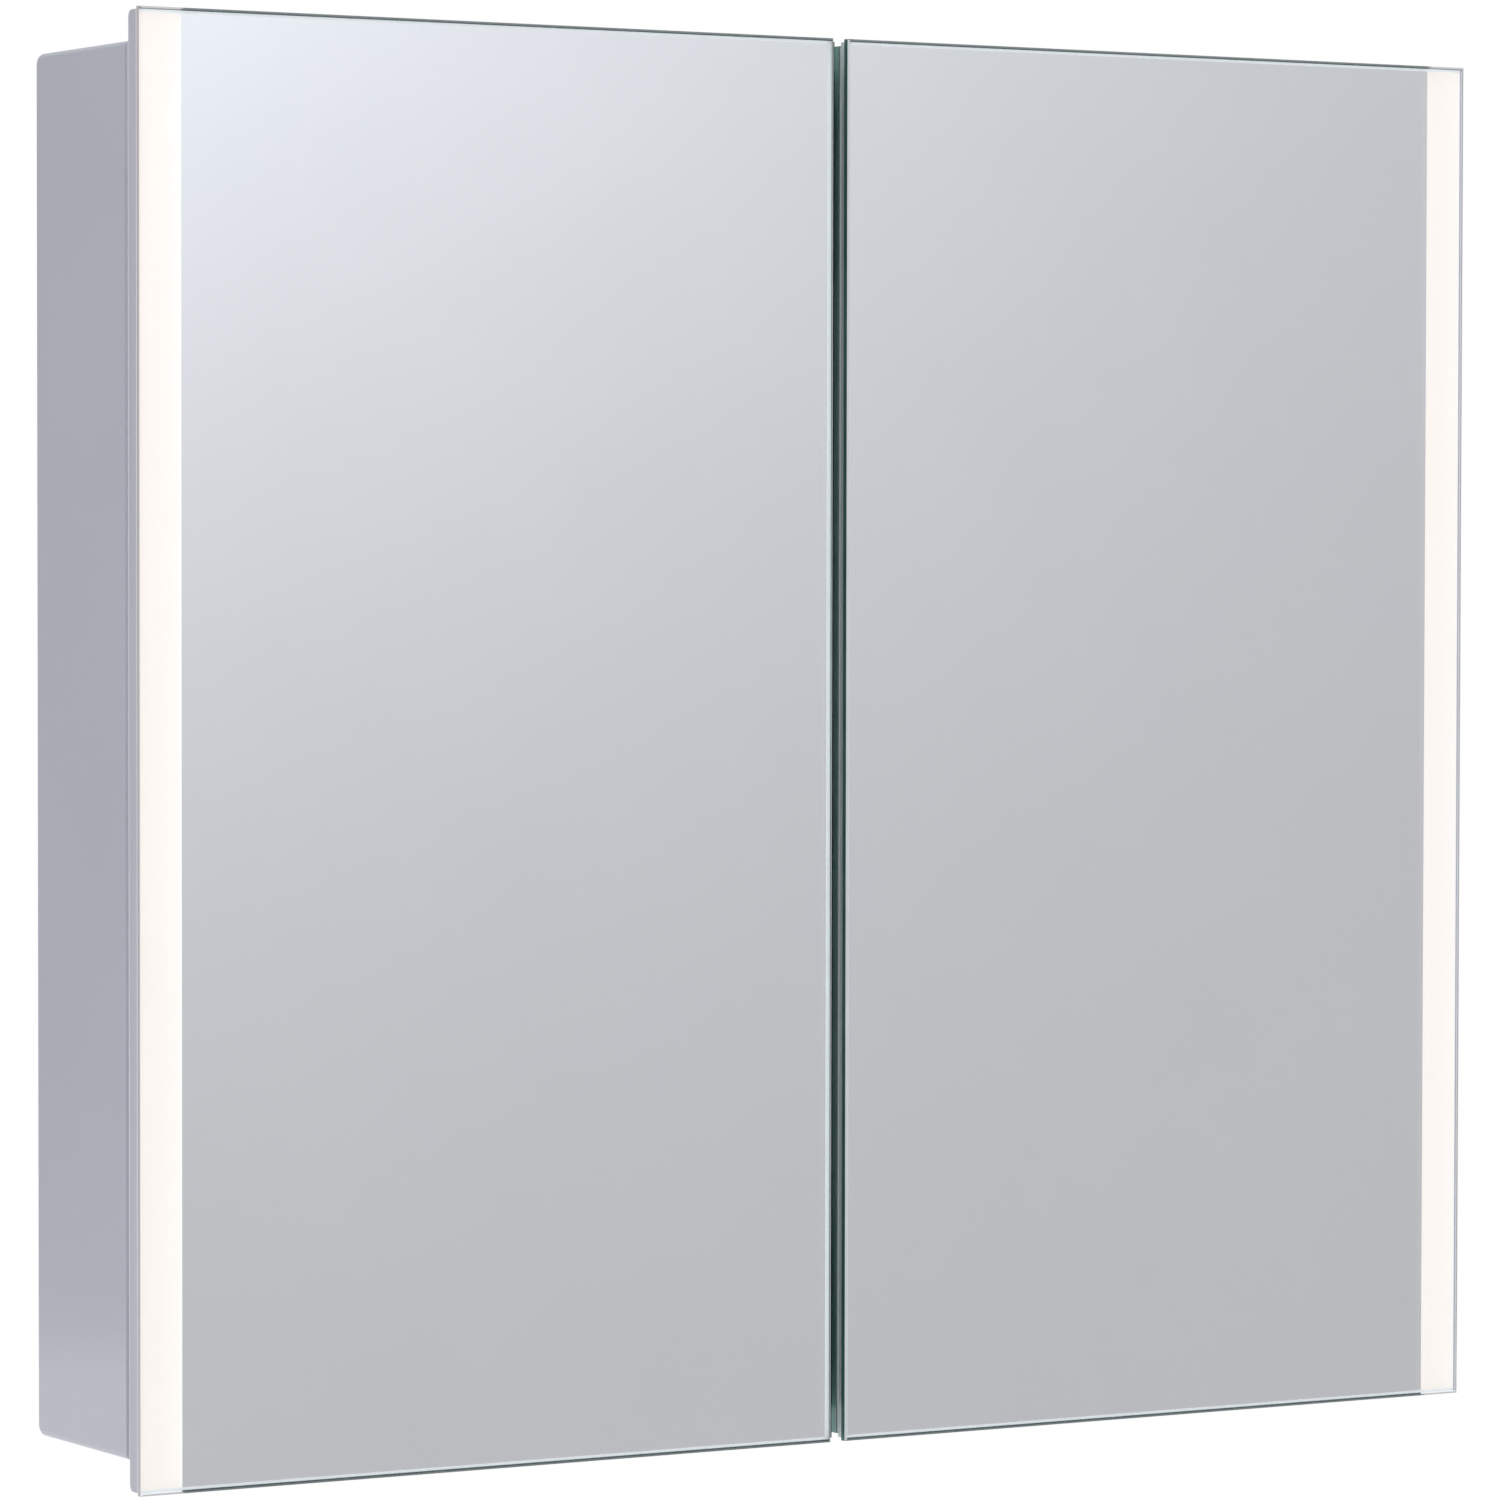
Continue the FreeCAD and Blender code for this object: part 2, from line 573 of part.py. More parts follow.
terminal_body = box(("terminal_x - terminal_width / 2", "terminal_x + terminal_width / 2"),
                    (BACK_FRONT + " - terminal_depth", BACK_FRONT),
                    (driver_low, driver_low + " + terminal_height"))
terminal_mouths = [round_bar("+Z", "terminal_mouth", "terminal_mouth_depth + 1",
                             "terminal_x + %d * terminal_pitch" % step,
                             BACK_FRONT + " - 0.6 * terminal_depth",
                             driver_low + " + terminal_height - terminal_mouth_depth")
                   for step in (-1, 0, 1)]
name_node(cut(terminal_body, *terminal_mouths), "terminal_block")

name_node(grommet("+Y", "grommet_radius - grommet_lip", "inlet_radius", "back_board",
                  INLET[0], BACK_FRONT, INLET[1]), "mains_grommet")

sensor = fuse(
    round_bar("+Z", "sensor_radius", "board - 2", SENSOR_X, SENSOR_Y, BOX_LOW),
    round_bar("+Z", "sensor_radius + sensor_rim", "sensor_rim_thickness", SENSOR_X, SENSOR_Y,
              BOX_LOW + " - sensor_rim_thickness"))
name_node(sensor, "sensor_switch")

# ---------------------------------------------------------------- shelves
shelf_front = LINING + " - 3 - shelf_depth"
for label, height in (("upper_shelf", "shelf_high"), ("lower_shelf", "shelf_low")):
    body, pad = sketched_slab(
        label.title().replace("_", ""), "XY_Plane", "cabinet_width - 2 * board - 2 * shelf_play",
        "shelf_depth", "shelf", (ROOM_LEFT + " + shelf_play", shelf_front, height))
    dress(body, "Chamfer", pad, ["Edge%d" % (n + 1) for n in range(len(pad.Shape.Edges))],
          "Size", "ease")
    name_node(body, label)

pins = []
for height in ("shelf_high", "shelf_low"):
    for side in (-1, 1):
        for y in PIN_COLUMNS:
            start = ROOM_LEFT + " - pin_hole + 0.5" if side < 0 else ROOM_RIGHT + " - 8"
            stem = round_bar("+X", "pin_radius", "pin_hole + 7.5", start, y,
                             height + " - pin_radius")
            collar_at = ROOM_LEFT if side < 0 else ROOM_RIGHT + " - 1.5"
            collar = round_bar("+X", "pin_radius + 1.5", "1.5", collar_at, y,
                               height + " - pin_radius - 1.55")
            pins.append(fuse(stem, collar))
name_node(group(pins), "shelf_pins")

# ---------------------------------------------------------------- continuous hinges
SOCKET_OPEN = 25.0               # slot beyond the neck's travel at each end, in degrees


def hinge_socket():
    """Extruded socket that wraps the door's rod, with a screw flange on the side panel."""
    ring = round_bar("+Z", "socket_radius", "carcass_height", HINGE_X, HINGE_Y, BOX_LOW)
    flange = box((HINGE_X, OUTER + " + flange_width"),
                 (CARCASS_FRONT + " + seat", CARCASS_FRONT + " + flange"), (BOX_LOW, BOX_TOP))
    bore = round_bar("+Z", "rod_radius + rod_play", "carcass_height + 2", HINGE_X, HINGE_Y,
                     BOX_LOW + " - 1")
    slot = round_bar("+Z", "socket_radius + 1", "carcass_height + 2", HINGE_X, HINGE_Y,
                     BOX_LOW + " - 1")
    bind(slot, "Angle", "swing + 2 * %s" % SOCKET_OPEN)
    start = -90.0 - sheet.get("swing") - SOCKET_OPEN
    slot.Placement.Rotation = FreeCAD.Rotation(AXES["+Z"], start)
    sinks = []
    for z in HINGE_SCREW_HEIGHTS:
        sinks.append(taper("+Y", "2 * hinge_screw + 2 * clearance", "hinge_screw + 2 * clearance",
                           "hinge_screw", HINGE_SCREW_X, CARCASS_FRONT + " + seat", z))
        sinks.append(round_bar("+Y", "hinge_screw + 2 * clearance", "flange + 2", HINGE_SCREW_X,
                               CARCASS_FRONT, z))
    return cut(fuse(ring, flange), bore, slot, *sinks)


both_sides(hinge_socket(), "hinge_socket")

hinge_screws = [countersunk_screw(HINGE_SCREW_X, CARCASS_FRONT + " + seat + clearance", z,
                                  "hinge_screw", "hinge_screw_length")
                for z in HINGE_SCREW_HEIGHTS]
both_sides(group(hinge_screws), "hinge_screws")

plugs = [round_bar("+Z", "rod_radius", "plug", HINGE_X, HINGE_Y, low)
         for low in (BOX_LOW, BOX_TOP + " - plug")]
both_sides(group(plugs), "hinge_plugs")


# ---------------------------------------------------------------- doors
def front_pane():
    """Clear front pane with a polished chamfer round its face."""
    body, pad = sketched_slab(
        "FrontPane", "XZ_Plane", "%s - %s" % (INNER, OUTER), "door_height", "glass",
        (OUTER, GLASS_BACK, DOOR_LOW))
    face_y = pad.Shape.BoundBox.YMin
    on_face = straight_edges(pad.Shape, lambda point: abs(point.y - face_y) < 0.01)
    dress(body, "Chamfer", pad, on_face, "Size", "glass_arris")
    return body


def outer_stile():
    """Aluminium extrusion that holds the light strip and carries the hinge rod."""
    height = (FRAME_LOW, FRAME_TOP)
    outside = OUTER + " + stile_side"
    side = box((outside, OUTER + " + strip_side"), (GLASS_BACK + " + film", DOOR_BACK), height)
    floor = box((outside, STILE_IN), (CORE_BACK + " - wall", CORE_BACK), height)
    inner = box((CHAMBER_IN, STILE_IN), (SILVER_BACK, CORE_BACK), height)
    block = box((outside, OUTER + " + stile_back"), (CORE_BACK, DOOR_BACK), height)
    relief = round_bar("+Z", "socket_radius + socket_relief", "door_height", HINGE_X, HINGE_Y,
                       DOOR_LOW)
    profile = cut(fuse(side, floor, inner, block), relief, door_lead_bore())
    envelope = box((outside, STILE_IN), (FRONT, DOOR_BACK), height)
    doc.recompute()
    rounding = doc.addObject("Part::Fillet", "StileRounding")
    rounding.Base = envelope
    corners = straight_edges(envelope.Shape,
                             lambda point: abs(point.y - envelope.Shape.BoundBox.YMax) < 0.01)
    along_x = [name for name in corners
               if abs(envelope.Shape.getElement(name).tangentAt(0).x) > 0.5]
    radius = sheet.get("door_round")
    rounding.Edges = [(int(name[4:]), radius, radius) for name in along_x]
    shaped = doc.addObject("Part::Common", "StileShape")
    shaped.Base = profile
    shaped.Tool = rounding
    rod_low = BOX_LOW + " + plug + plug_gap"
    rod_length = "carcass_height - 2 * plug - 2 * plug_gap"
    neck = box((HINGE_X + " - neck / 2", HINGE_X + " + neck / 2"),
               (CORE_BACK, HINGE_Y), (rod_low, rod_low + " + " + rod_length))
    rod = round_bar("+Z", "rod_radius", rod_length, HINGE_X, HINGE_Y, rod_low)
    return fuse(shaped, neck, rod)


def led_board():
    """Upright circuit strip with a row of diodes facing the light guide's inner edge."""
    low = "(%s + led_end)" % DOOR_LOW
    high = "(%s - led_end)" % DOOR_TOP
    face = STRIP_IN + " + board_gap + 3 * led_gap"
    middle = "(%s + (core - wall) / 2)" % SILVER_BACK
    strip = box((face, face + " + wall"),
                (SILVER_BACK + " + led_gap", CORE_BACK + " - wall - led_gap"), (low, high))
    diodes = []
    for number in range(LED_COUNT):
        z = "%s + led_end + %d * (door_height - 4 * led_end) / %d" % (low, number, LED_COUNT - 1)
        diodes.append(box((STRIP_IN + " + led_gap", face),
                          (middle + " - led_depth / 2", middle + " + led_depth / 2"),
                          (z + " - led / 2", z + " + led / 2")))
    return fuse(strip, *diodes)


def door_lead_bore():
    """Hole behind the light strip for its low-voltage lead."""
    return round_bar("+Y", "door_lead_radius + clearance", "wall + silver + glass + 2",
                     DOOR_LEAD_X, CORE_BACK + " - wall - 1", DOOR_LEAD_Z)


def grommet_on_door():
    """Rubber ring in the door's rear pane, its flange towards the cabinet."""
    flange = round_bar("+Y", "door_lead_radius + 1", "1", DOOR_LEAD_X, DOOR_BACK, DOOR_LEAD_Z)
    collar = round_bar("+Y", "door_lead_radius", "silver + glass", DOOR_LEAD_X, CORE_BACK,
                       DOOR_LEAD_Z)
    through = round_bar("+Y", "door_lead_hole", "silver + glass + 3", DOOR_LEAD_X,
                        CORE_BACK + " - 1", DOOR_LEAD_Z)
    return cut(fuse(flange, collar), through)


rear_span = (OUTER + " + stile_back + 0.2", INNER)
bar_span = (STILE_IN, BAR_IN)
core_layer = (SILVER_BACK, CORE_BACK)

both_sides(front_pane(), "front_glass")
both_sides(box((STRIP_IN, INNER + " - silver_inset"), (GLASS_BACK + " + film", SILVER_BACK),
               (DOOR_LOW + " + silver_inset", DOOR_TOP + " - silver_inset")), "front_silvering")
both_sides(box((OUTER + " + strip_side", STRIP_IN),
               (GLASS_BACK + " + film", GLASS_BACK + " + guide"),
               (DOOR_LOW + " + strip_end", DOOR_TOP + " - strip_end")), "light_guide")
both_sides(led_board(), "led_board")
both_sides(outer_stile(), "outer_stile")
both_sides(box((BAR_IN, INNER + " - reveal"), core_layer, (FRAME_LOW, FRAME_TOP)), "inner_stile")
both_sides(box(bar_span, core_layer, (BARS_TOP, FRAME_TOP)), "door_top_rail")
both_sides(box(bar_span, core_layer, (FRAME_LOW, BARS_LOW)), "door_bottom_rail")
both_sides(box(bar_span, core_layer, (BARS_LOW, BARS_TOP)), "door_core")
both_sides(cut(box((rear_span[0] + " + rear_silver_inset", INNER + " - rear_silver_inset"),
                   (CORE_BACK, REAR_PANE + " - film"),
                   (FRAME_LOW + " + rear_inset + rear_silver_inset",
                    FRAME_TOP + " - rear_inset - rear_silver_inset")),
               door_lead_bore()), "rear_silvering")
both_sides(cut(box(rear_span, (REAR_PANE, DOOR_BACK),
                   (FRAME_LOW + " + rear_inset", FRAME_TOP + " - rear_inset")),
               door_lead_bore()), "rear_glass")
both_sides(grommet_on_door(), "lead_grommet")

strike_heights = (ROOM_TOP + " + board / 2", ROOM_LOW + " - board / 2")
strikes = [round_bar("+Y", "magnet_radius + 1.5", "strike", "-magnet_x", DOOR_BACK, z)
           for z in strike_heights]
both_sides(group(strikes), "catch_strikes")

bumpers = [round_bar("+Y", "bumper_radius", "seam - 0.1", "-bumper_x", DOOR_BACK, z)
           for z in strike_heights]
both_sides(group(bumpers), "door_bumpers")


# ---------------------------------------------------------------- checks and export
doc.recompute()
broken = [item.Label for item in doc.Objects if "Invalid" in item.State or "Error" in item.State]
if broken:
    raise RuntimeError("objects that did not build: %s" % ", ".join(broken))

os.makedirs("parts", exist_ok=True)
for piece in exported:
    shape = piece.Shape
    if shape.isNull() or not shape.isValid():
        raise RuntimeError("%s has no valid shape" % piece.Label)
    shape.exportStep("parts/%s.step" % piece.Label)
print("%d nodes" % len(exported))
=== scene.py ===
"""Mirrored bathroom cabinet: materials, fine borders, studio and camera round the CAD frame."""

import math

import bmesh
import bpy
from mathutils import Matrix, Vector


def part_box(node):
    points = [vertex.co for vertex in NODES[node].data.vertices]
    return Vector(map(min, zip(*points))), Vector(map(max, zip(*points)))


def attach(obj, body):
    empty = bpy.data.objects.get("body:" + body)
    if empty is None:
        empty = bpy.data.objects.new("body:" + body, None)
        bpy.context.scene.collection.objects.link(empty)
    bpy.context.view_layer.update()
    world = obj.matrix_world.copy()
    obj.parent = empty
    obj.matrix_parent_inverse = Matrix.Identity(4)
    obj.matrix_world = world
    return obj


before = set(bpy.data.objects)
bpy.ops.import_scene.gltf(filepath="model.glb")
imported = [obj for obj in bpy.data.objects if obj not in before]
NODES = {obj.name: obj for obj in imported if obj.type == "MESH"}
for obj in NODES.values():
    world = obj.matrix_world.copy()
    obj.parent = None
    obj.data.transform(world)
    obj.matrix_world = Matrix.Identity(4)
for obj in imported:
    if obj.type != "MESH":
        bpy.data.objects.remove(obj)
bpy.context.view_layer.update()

SIDES = ("left", "right")
SIGN = {"left": -1, "right": 1}

# Lengths are in metres and colours are linear, unless srgb() says otherwise.

# Where a mottled tone starts and stops along its noise.
TONE_LOW = 0.3
TONE_HIGH = 0.7

# Limits on the size of a normal's component along one axis: a flat face, and a ground slope.
FLAT_FACE = 0.9
SLOPE = 0.4


def rgb(r, g, b):
    """A linear colour with full alpha."""
    return (r, g, b, 1.0)


def srgb(r, g, b):
    """An sRGB colour from 0 to 255, made linear."""

    def linear(value):
        value /= 255
        return value / 12.92 if value <= 0.04045 else ((value + 0.055) / 1.055) ** 2.4

    return rgb(linear(r), linear(g), linear(b))


def darker(base, share):
    """A colour scaled down, alpha kept."""
    return rgb(*(c * share for c in base[:3]))


# ---------------------------------------------------------------- node helpers


def new_material(name):
    material = bpy.data.materials.new(name)
    material.use_nodes = True
    tree = material.node_tree
    tree.nodes.clear()
    return material, tree, tree.nodes.new("ShaderNodeOutputMaterial")


def link(tree, source, target):
    tree.links.new(source, target)


def feed(tree, value, socket):
    """Set a socket from a plain value or link it to another node's output."""
    if isinstance(value, (int, float, tuple)):
        socket.default_value = value
    else:
        link(tree, value, socket)


def principled(tree, **values):
    """A Principled shader with plain values, spaces in socket names written as underscores."""
    shader = tree.nodes.new("ShaderNodeBsdfPrincipled")
    for key, value in values.items():
        shader.inputs[key.replace("_", " ")].default_value = value
    return shader


def object_place(tree, scale=(1, 1, 1)):
    """Object-space position, stretched by scale."""
    coords = tree.nodes.new("ShaderNodeTexCoord")
    mapping = tree.nodes.new("ShaderNodeMapping")
    mapping.inputs["Scale"].default_value = scale
    link(tree, coords.outputs["Object"], mapping.inputs["Vector"])
    return mapping.outputs[0]


def coordinate_parts(tree, kind):
    """X, Y and Z outputs of the object-space position ("Object") or normal ("Normal")."""
    coords = tree.nodes.new("ShaderNodeTexCoord")
    parts = tree.nodes.new("ShaderNodeSeparateXYZ")
    link(tree, coords.outputs[kind], parts.inputs[0])
    return parts.outputs


def noise(tree, place, scale, detail=3.0, rough=0.55):
    node = tree.nodes.new("ShaderNodeTexNoise")
    node.inputs["Scale"].default_value = scale
    node.inputs["Detail"].default_value = detail
    node.inputs["Roughness"].default_value = rough
    link(tree, place, node.inputs["Vector"])
    return node.outputs["Fac"]


def ramp(tree, factor, stops):
    """A colour ramp through (position, colour or grey) stops."""
    node = tree.nodes.new("ShaderNodeValToRGB")
    elements = node.color_ramp.elements
    while len(elements) < len(stops):
        elements.new(0.5)
    for element, (position, value) in zip(elements, stops):
        element.position = position
        element.color = value if isinstance(value, tuple) else rgb(value, value, value)
    link(tree, factor, node.inputs["Fac"])
    return node.outputs["Color"]


def mottle(tree, factor, low, high):
    """Two close tones mixed by a noise."""
    return ramp(tree, factor, ((TONE_LOW, low), (TONE_HIGH, high)))


def spread(tree, factor, low, high):
    """A 0 to 1 factor mapped to low..high."""
    node = tree.nodes.new("ShaderNodeMapRange")
    node.inputs["To Min"].default_value = low
    node.inputs["To Max"].default_value = high
    link(tree, factor, node.inputs["Value"])
    return node.outputs["Result"]


def step(tree, value, start, end, smooth=True):
    """0 before start and 1 after end, eased in between if smooth."""
    node = tree.nodes.new("ShaderNodeMapRange")
    if smooth:
        node.interpolation_type = "SMOOTHSTEP"
    node.inputs["From Min"].default_value = start
    node.inputs["From Max"].default_value = end
    link(tree, value, node.inputs["Value"])
    return node.outputs["Result"]


def calc(tree, operation, *values):
    """A Math node on one, two or three values or sockets."""
    node = tree.nodes.new("ShaderNodeMath")
    node.operation = operation
    for socket, value in zip(node.inputs, values):
        feed(tree, value, socket)
    return node.outputs[0]


def size_between(tree, value, low, high):
    """1 where the size of a value, sign dropped, lies between low and high."""
    size = calc(tree, "ABSOLUTE", value)
    above = calc(tree, "GREATER_THAN", size, low)
    below = calc(tree, "LESS_THAN", size, high)
    return calc(tree, "MULTIPLY", above, below)


def mix_colour(tree, factor, first, second, blend="MIX"):
    node = tree.nodes.new("ShaderNodeMix")
    node.data_type = "RGBA"
    node.blend_type = blend
    feed(tree, factor, node.inputs["Factor"])
    feed(tree, first, node.inputs[6])
    feed(tree, second, node.inputs[7])
    return node.outputs[2]


def mix_shaders(tree, factor, first, second):
    node = tree.nodes.new("ShaderNodeMixShader")
    feed(tree, factor, node.inputs[0])
    link(tree, first, node.inputs[1])
    link(tree, second, node.inputs[2])
    return node.outputs[0]


def bump(tree, shader, height, strength, distance):
    node = tree.nodes.new("ShaderNodeBump")
    node.inputs["Strength"].default_value = strength
    node.inputs["Distance"].default_value = distance
    link(tree, height, node.inputs["Height"])
    link(tree, node.outputs["Normal"], shader.inputs["Normal"])


# ----------------------------------------------------- paint, metal and plastic


def lacquer(name, base, rough=0.34, coat=0.75, coat_rough=0.03):
    """Sprayed satin lacquer: faint colour drift and orange peel."""
    material, tree, output = new_material(name)
    shader = principled(
        tree,
        Roughness=rough,
        Coat_Weight=coat,
        Coat_Roughness=coat_rough,
        Coat_IOR=1.5,
    )
    place = object_place(tree)
    drift = noise(tree, place, 5.0, 2.0)
    high = rgb(*(min(1.0, c * 1.02) for c in base[:3]))
    link(tree, mottle(tree, drift, darker(base, 0.975), high), shader.inputs["Base Color"])
    peel = noise(tree, place, 420.0, 2.0)
    link(tree, spread(tree, peel, rough - 0.04, rough + 0.04), shader.inputs["Roughness"])
    bump(tree, shader, peel, 0.06, 0.00012)
    link(tree, shader.outputs[0], output.inputs["Surface"])
    return material


def metal(name, base, rough, streak=(1, 1, 1), scale=220.0, metallic=1.0, depth=0.00003, glow=0.0):
    """Metal with brushed or rolled streaks running along the axis that streak shrinks."""
    material, tree, output = new_material(name)
    # A glow above 0 is painted light: a faint emission that lifts a shaded place.
    shader = principled(tree, Metallic=metallic, Roughness=rough, Emission_Strength=glow)
    shader.inputs["Emission Color"].default_value = SEAM_PAINTED_LIGHT
    grain = noise(tree, object_place(tree, streak), scale, 4.0, 0.6)
    link(tree, mottle(tree, grain, darker(base, 0.93), base), shader.inputs["Base Color"])
    link(tree, spread(tree, grain, rough - 0.06, rough + 0.06), shader.inputs["Roughness"])
    bump(tree, shader, grain, 0.15, depth)
    link(tree, shader.outputs[0], output.inputs["Surface"])
    return material


def galvanised(name, base):
    """Zinc-coated sheet with its pale crystal flowers."""
    material, tree, output = new_material(name)
    shader = principled(tree, Metallic=0.95)
    place = object_place(tree)
    cells = tree.nodes.new("ShaderNodeTexVoronoi")
    cells.inputs["Scale"].default_value = 130.0
    link(tree, place, cells.inputs["Vector"])
    tone = tree.nodes.new("ShaderNodeSeparateColor")
    link(tree, cells.outputs["Color"], tone.inputs[0])
    flowers = ramp(tree, tone.outputs[0], ((0.0, darker(base, 0.78)), (1.0, base)))
    link(tree, flowers, shader.inputs["Base Color"])
    link(tree, spread(tree, tone.outputs[1], 0.28, 0.46), shader.inputs["Roughness"])
    bump(tree, shader, noise(tree, place, 500.0), 0.1, 0.00002)
    link(tree, shader.outputs[0], output.inputs["Surface"])
    return material


def moulded(name, base, rough=0.45, clear=0.0):
    """Moulded plastic, nylon or rubber with a fine spark-eroded grain."""
    material, tree, output = new_material(name)
    shader = principled(tree, Transmission_Weight=clear)
    place = object_place(tree)
    drift = noise(tree, place, 60.0, 2.0)
    link(tree, mottle(tree, drift, darker(base, 0.9), base), shader.inputs["Base Color"])
    grain = noise(tree, place, 900.0, 2.0)
    link(tree, spread(tree, grain, rough - 0.05, rough + 0.05), shader.inputs["Roughness"])
    bump(tree, shader, grain, 0.2, 0.00006)
    link(tree, shader.outputs[0], output.inputs["Surface"])
    return material


def board_core(name):
    """Dense fibreboard with its fine flecks."""
    material, tree, output = new_material(name)
    shader = principled(tree, Roughness=0.8)
    fleck = noise(tree, object_place(tree, (1, 3, 1)), 380.0, 5.0, 0.7)
    tone = mottle(tree, fleck, srgb(120, 94, 66), srgb(168, 138, 104))
    link(tree, tone, shader.inputs["Base Color"])
    bump(tree, shader, fleck, 0.3, 0.0001)
    link(tree, shader.outputs[0], output.inputs["Surface"])
    return material


def brushed_coat(name, low, high, rough, scale, streak=(1, 1, 1), glow=0.0):
    """A thin brushed or rolled coat of varnish or paint on the back of a pane."""
    material, tree, output = new_material(name)
    # A glow above 0 is painted light, a faint emission.
    shader = principled(tree, Roughness=rough, Emission_Strength=glow)
    shader.inputs["Emission Color"].default_value = VARNISH_PAINTED_LIGHT
    strokes = noise(tree, object_place(tree, streak), scale, 3.0)
    link(tree, mottle(tree, strokes, low, high), shader.inputs["Base Color"])
    link(tree, shader.outputs[0], output.inputs["Surface"])
    return material


def smoky_lip():
    """Soft smoke-clear plastic of the lip between the doors."""
    material, tree, output = new_material("smoky_lip_seal")
    clear = tree.nodes.new("ShaderNodeBsdfTransparent")
    cloud = noise(tree, object_place(tree, (1, 1, 0.2)), 90.0, 2.0)
    tint = mottle(tree, cloud, rgb(0.17, 0.20, 0.21), rgb(0.20, 0.23, 0.24))
    link(tree, tint, clear.inputs["Color"])
    skin = principled(tree, Base_Color=rgb(0.12, 0.14, 0.145), Roughness=0.3)
    mixed = mix_shaders(tree, 0.12, clear.outputs[0], skin.outputs[0])
    link(tree, mixed, output.inputs["Surface"])
    return material


# ------------------------------------------------------------- glass and mirrors

GLASS_TINT = rgb(0.45, 0.86, 0.74)
GLASS_DENSITY = 9.0
GLASS_IOR = 1.52

# The darker and lighter green of ground edges.
FRONT_EDGE = (rgb(0.045, 0.125, 0.105), rgb(0.075, 0.18, 0.155))
REAR_EDGE = (rgb(0.17, 0.38, 0.31), rgb(0.25, 0.50, 0.43))
SHELF_EDGE = (rgb(0.10, 0.30, 0.25), rgb(0.18, 0.42, 0.36))

# How far out from the middle the front pane's edges start and finish carrying painted light for
# the strip's light: a lighter tone and a faint emission.
GLOW_START = 0.375
GLOW_END = 0.379
# Painted light on the front pane's edges and slopes beside the strip: a lighter tone and a faint
# emission.
LIT_EDGE = rgb(0.30, 0.29, 0.30)
LIT_EDGE_LIGHT = rgb(0.20, 0.185, 0.19)
LIT_SLOPE = rgb(0.62, 0.62, 0.61)
# Painted shade: the dark tone of the front pane's top and bottom slopes.
PAINTED_SLOPE_SHADE = rgb(0.17, 0.20, 0.205)

# The slopes nearer the middle than this are the two that meet at the gap, and are given a bright
# painted highlight.
MEETING_REACH = 0.0056
PAINTED_SLOPE_HIGHLIGHT = (rgb(0.74, 0.77, 0.76), rgb(0.82, 0.84, 0.83))

# Mirrors facing mirrors past this many reflections show a painted dim tone, a flat emission, in
# place of the next reflected image.
DEEPEST_MIRROR = 2.5
PAINTED_DEEP_TONE = rgb(0.20, 0.235, 0.235)

SILVER_TONES = (rgb(0.966, 0.944, 0.952), rgb(0.98, 0.958, 0.966))


def pane_shader(tree):
    """Clear glass that lets lamps and soft light straight through."""
    clear = principled(tree, Roughness=0.0, IOR=GLASS_IOR, Transmission_Weight=1.0)
    haze = noise(tree, object_place(tree), 14.0, 4.0)
    tone = ramp(tree, haze, ((0.35, 1.0), (0.75, rgb(0.992, 0.996, 0.996))))
    link(tree, tone, clear.inputs["Base Color"])
    passing = tree.nodes.new("ShaderNodeBsdfTransparent")
    passing.inputs["Color"].default_value = rgb(0.93, 0.96, 0.95)
    path = tree.nodes.new("ShaderNodeLightPath")
    indirect = calc(
        tree, "MAXIMUM", path.outputs["Is Shadow Ray"], path.outputs["Is Diffuse Ray"]
    )
    return mix_shaders(tree, indirect, clear.outputs[0], passing.outputs[0])


def front_slopes(tree, mixed, grind, glow):
    """The front pane's ground slopes: painted shade along top and bottom, painted light above and
    below the strip, and a painted highlight where the doors meet.
    """
    normal = coordinate_parts(tree, "Normal")
    ground = principled(tree, Roughness=0.18)
    # Painted shade on the top and bottom slopes, painted light on them near the strip.
    tone = mottle(tree, grind, darker(PAINTED_SLOPE_SHADE, 0.8), PAINTED_SLOPE_SHADE)
    link(tree, mix_colour(tree, glow, tone, LIT_SLOPE), ground.inputs["Base Color"])
    level = size_between(tree, normal["Z"], SLOPE, FLAT_FACE)
    mixed = mix_shaders(tree, level, mixed, ground.outputs[0])

    # Painted highlight on the two slopes that meet at the gap.
    slope_highlight = principled(tree, Roughness=0.12)
    link(tree, mottle(tree, grind, *PAINTED_SLOPE_HIGHLIGHT), slope_highlight.inputs["Base Color"])
    upright = size_between(tree, normal["X"], SLOPE, FLAT_FACE)
    out = calc(tree, "ABSOLUTE", coordinate_parts(tree, "Object")["X"])
    central = calc(tree, "LESS_THAN", out, MEETING_REACH)
    meeting = calc(tree, "MULTIPLY", upright, central)
    return mix_shaders(tree, meeting, mixed, slope_highlight.outputs[0])


